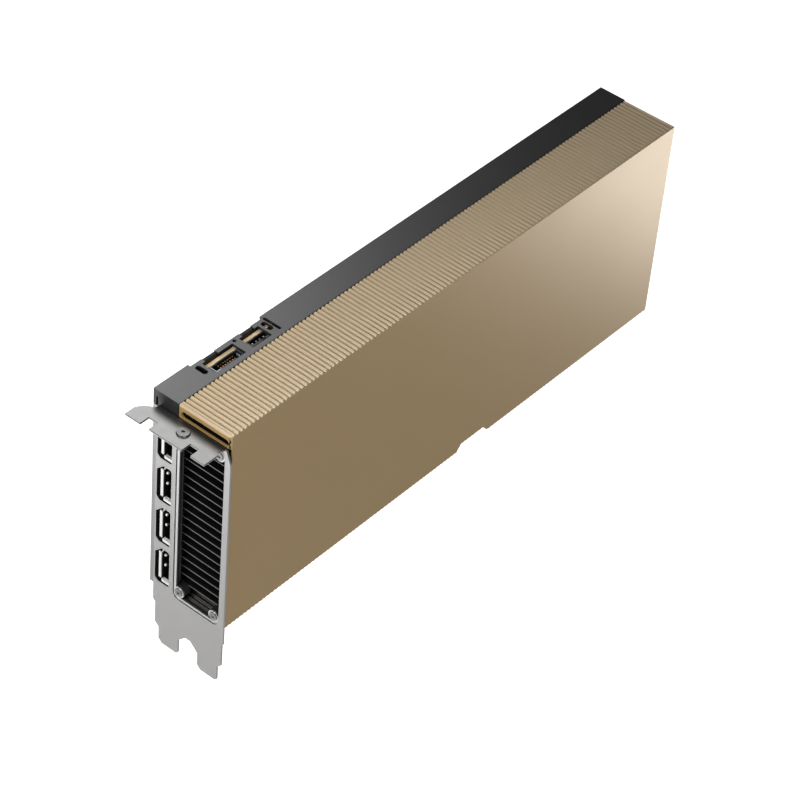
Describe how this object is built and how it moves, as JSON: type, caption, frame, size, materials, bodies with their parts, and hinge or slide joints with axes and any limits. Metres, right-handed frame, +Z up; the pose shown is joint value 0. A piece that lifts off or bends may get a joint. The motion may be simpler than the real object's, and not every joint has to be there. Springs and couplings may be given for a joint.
{
  "type": "passive accelerator card",
  "caption": "Long two-slot expansion card with a gold ribbed shroud, a vented bracket with display ports, an inner fin stack and a card edge.",
  "frame": {"origin": "middle of the card edge's key notch, at the bottom of the card edge and in the board's mid-plane", "axes": "+X from the bracket to the far end, +Y to the back plate's side, +Z up from the card edge"},
  "size_m": [0.2781, 0.041, 0.1259],
  "materials": {
    "gold_shell": "satin gold-bronze coat on sheet metal",
    "grey_shell": "satin dark grey coat on sheet metal",
    "back_shell": "satin black coat on sheet metal",
    "bracket_steel": "bright nickel-plated steel",
    "screw_steel": "plain steel screw",
    "frame_metal": "bare cast metal",
    "fin_metal": "dark treated aluminium fin",
    "chamber_metal": "nickel-plated flat face",
    "board": "dark solder mask with tan cut edge",
    "contact_gold": "gold-plated contact",
    "package": "chip carrier laminate",
    "die": "polished silicon",
    "stiffener": "satin steel frame",
    "chip_black": "moulded chip body",
    "pad": "soft grey thermal pad",
    "coil": "pressed iron powder",
    "capacitor": "can in drawn aluminium",
    "port_metal": "plated steel shell",
    "port_contact": "bright plated tongue cap",
    "port_plastic": "black insulator",
    "header_metal": "tinned steel shell",
    "header_plastic": "black header body",
    "pin_copper": "copper-coloured pin",
    "pin_silver": "tinned pin",
    "inlet_plastic": "black connector body",
    "standoff": "turned brass post"
  },
  "bodies": {
    "root": {"bracket": "bracket_steel", "tab_screw": "screw_steel", "vent_frame": "frame_metal", "vent_screws": "screw_steel", "shroud": "gold_shell", "top_cover": "grey_shell", "back_plate": "back_shell", "back_plate_screws": "screw_steel", "cooler_screws": "screw_steel", "posts": "standoff", "circuit_board": "board", "edge_contacts": "contact_gold", "heat_sink": "fin_metal", "fins": "fin_metal", "vapour_chamber": "chamber_metal", "chip_package": "package", "chip_die": "die", "chip_stiffener": "stiffener", "memory_front": "chip_black", "memory_pads": "pad", "memory_back": "chip_black", "back_pads": "pad", "power_stages": "chip_black", "power_coils": "coil", "capacitors": "capacitor", "side_angle": "bracket_steel", "edge_pads": "port_plastic", "port_collars": "port_metal", "port_tongues": "port_contact", "port_shells": "port_metal", "port_cores": "port_plastic", "sync_shell": "header_metal", "sync_body": "header_plastic", "sync_pins": "pin_copper", "stereo_body": "header_plastic", "stereo_pins": "pin_silver", "power_inlet": "inlet_plastic", "power_pins": "contact_gold", "end_frame": "frame_metal", "bottom_rail": "grey_shell"}
  },
  "joints": []
}
